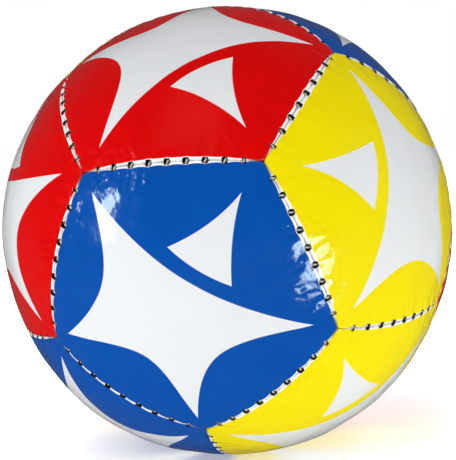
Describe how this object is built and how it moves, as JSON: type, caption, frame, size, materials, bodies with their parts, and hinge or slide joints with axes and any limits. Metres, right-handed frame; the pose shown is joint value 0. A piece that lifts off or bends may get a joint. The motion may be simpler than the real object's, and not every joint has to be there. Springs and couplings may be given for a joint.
{
  "type": "juggling ball",
  "caption": "Stuffed juggling ball with a hand-stitched cover of pentagonal panels in red, blue and yellow, each printed with a white star.",
  "frame": {"origin": "centre of the ball, which is the centre of its box", "axes": "+Z through a corner where three panels meet, -Y through the centre line of the lower front blue panel, +X to the right of it"},
  "size_m": [0.0674, 0.068, 0.0672],
  "materials": {
    "cover_red": "glossy printed synthetic leather",
    "cover_blue": "glossy printed synthetic leather",
    "cover_yellow": "glossy printed synthetic leather",
    "thread": "waxed off-white thread",
    "bag_cloth": "plain cotton",
    "grain": "loose millet grain"
  },
  "bodies": {
    "root": {"inner_bag": "bag_cloth", "millet_filling": "grain", "panel_bottom_back_red": "cover_red", "panel_bottom_left_blue": "cover_blue", "panel_bottom_right_yellow": "cover_yellow", "panel_lower_front_blue": "cover_blue", "panel_lower_left_yellow": "cover_yellow", "panel_lower_right_red": "cover_red", "panel_top_front_red": "cover_red", "panel_top_left_yellow": "cover_yellow", "panel_top_right_blue": "cover_blue", "panel_upper_back_blue": "cover_blue", "panel_upper_left_red": "cover_red", "panel_upper_right_yellow": "cover_yellow", "thread_bottom_left_to_bottom_back": "thread", "thread_bottom_left_to_bottom_right": "thread", "thread_bottom_right_to_bottom_back": "thread", "thread_lower_front_to_bottom_left": "thread", "thread_lower_front_to_bottom_right": "thread", "thread_lower_left_to_bottom_back": "thread", "thread_lower_left_to_bottom_left": "thread", "thread_lower_right_to_bottom_back": "thread", "thread_lower_right_to_bottom_right": "thread", "thread_top_front_to_lower_front": "thread", "thread_top_front_to_top_left": "thread", "thread_top_front_to_top_right": "thread", "thread_top_front_to_upper_left": "thread", "thread_top_front_to_upper_right": "thread", "thread_top_left_to_lower_left": "thread", "thread_top_left_to_upper_back": "thread", "thread_top_left_to_upper_left": "thread", "thread_top_right_to_lower_right": "thread", "thread_top_right_to_top_left": "thread", "thread_top_right_to_upper_back": "thread", "thread_top_right_to_upper_right": "thread", "thread_upper_back_to_bottom_back": "thread", "thread_upper_back_to_lower_left": "thread", "thread_upper_back_to_lower_right": "thread", "thread_upper_left_to_bottom_left": "thread", "thread_upper_left_to_lower_front": "thread", "thread_upper_left_to_lower_left": "thread", "thread_upper_right_to_bottom_right": "thread", "thread_upper_right_to_lower_front": "thread", "thread_upper_right_to_lower_right": "thread"}
  },
  "joints": []
}
